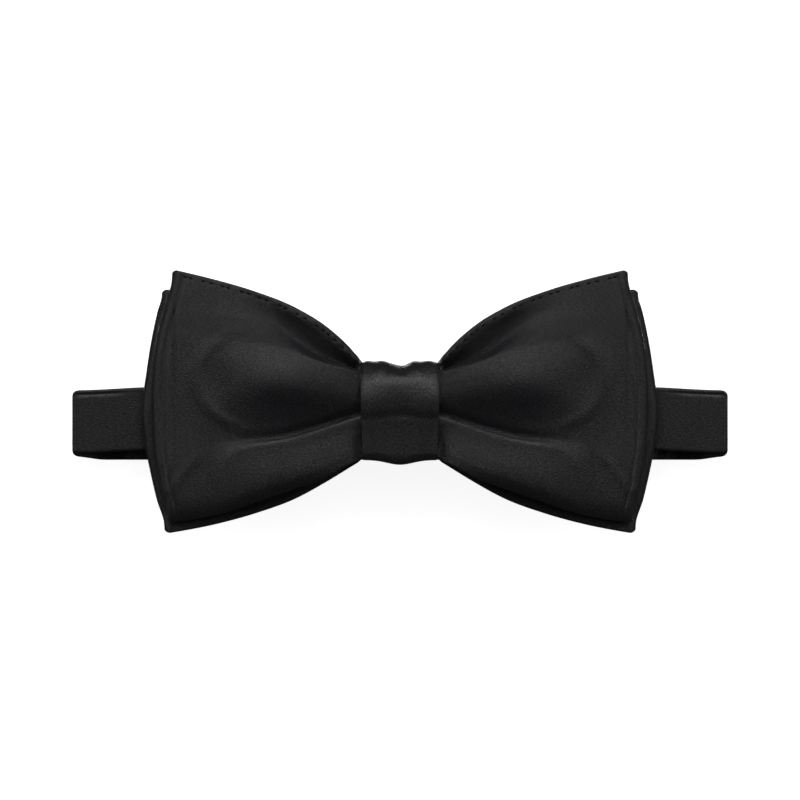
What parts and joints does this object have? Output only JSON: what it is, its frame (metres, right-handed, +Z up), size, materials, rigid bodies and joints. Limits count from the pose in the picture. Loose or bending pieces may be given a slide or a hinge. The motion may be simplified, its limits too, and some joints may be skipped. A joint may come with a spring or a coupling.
{
  "type": "bow tie",
  "caption": "Pre-tied bow tie: two folded satin bows in a knot band on a neck strap that is folded behind them, with a slider, hook and eye.",
  "frame": {"origin": "collar seat: the middle of the strap's front run, on its front face, behind the bow", "axes": "+X across the tie, +Z up as it is worn, and the front faces -Y, so +Y runs towards the neck"},
  "size_m": [0.1562, 0.0198, 0.0619],
  "materials": {
    "satin": "woven satin",
    "strap_satin": "woven satin",
    "interlining": "brushed canvas",
    "thread": "spun thread",
    "nickel": "polished nickel plate"
  },
  "bodies": {
    "bow": {"front_bow": "satin", "front_bow_interlining": "interlining", "rear_bow": "satin", "rear_bow_interlining": "interlining", "knot_band": "satin", "knot_interlining": "interlining", "knot_tack_stitches": "thread", "waist_binding_thread": "thread", "pick_stitches_left": "thread", "pick_stitches_right": "thread"},
    "strap": {"strap_front_run": "strap_satin", "strap_interlining": "interlining", "strap_left_fold": "strap_satin", "strap_right_fold": "strap_satin"},
    "left_tail": {"strap_left_tail": "strap_satin", "strap_hook_turn": "strap_satin", "strap_left_return": "strap_satin"},
    "slider": {"slider": "nickel", "strap_end_loop": "strap_satin", "slider_bar_tack": "thread"},
    "hook": {"hook": "nickel"},
    "right_tail": {"strap_right_tail": "strap_satin", "strap_eye_loop": "strap_satin", "eye_bar_tack": "thread"},
    "eye": {"eye": "nickel"}
  },
  "joints": [
    {"name": "strap_shift", "type": "slide", "parent": "bow", "child": "strap", "axis": [1, 0, 0], "range_m": [-0.006, 0.006]},
    {"name": "left_fold_open", "type": "hinge", "parent": "strap", "child": "left_tail", "pos_m": [-0.07685, 0.00125, -0.0019], "axis": [0, 0, 1], "range_deg": [0, 175], "deforming": ["strap_left_fold"]},
    {"name": "right_fold_open", "type": "hinge", "parent": "strap", "child": "right_tail", "pos_m": [0.07685, 0.00125, -0.0019], "axis": [0, 0, -1], "range_deg": [0, 175], "deforming": ["strap_right_fold"]},
    {"name": "slider_adjust", "type": "slide", "parent": "left_tail", "child": "slider", "axis": [1, 0, 0], "range_m": [0, 0.062], "deforming": ["strap_left_return"]},
    {"name": "hook_swing", "type": "hinge", "parent": "left_tail", "child": "hook", "pos_m": [0.0307, 0.00402, -0.0019], "axis": [0, 0, 1], "range_deg": [0, 75]},
    {"name": "eye_swing", "type": "hinge", "parent": "right_tail", "child": "eye", "pos_m": [0.0565, 0.00402, -0.0019], "axis": [0, 0, -1], "range_deg": [0, 75]}
  ]
}
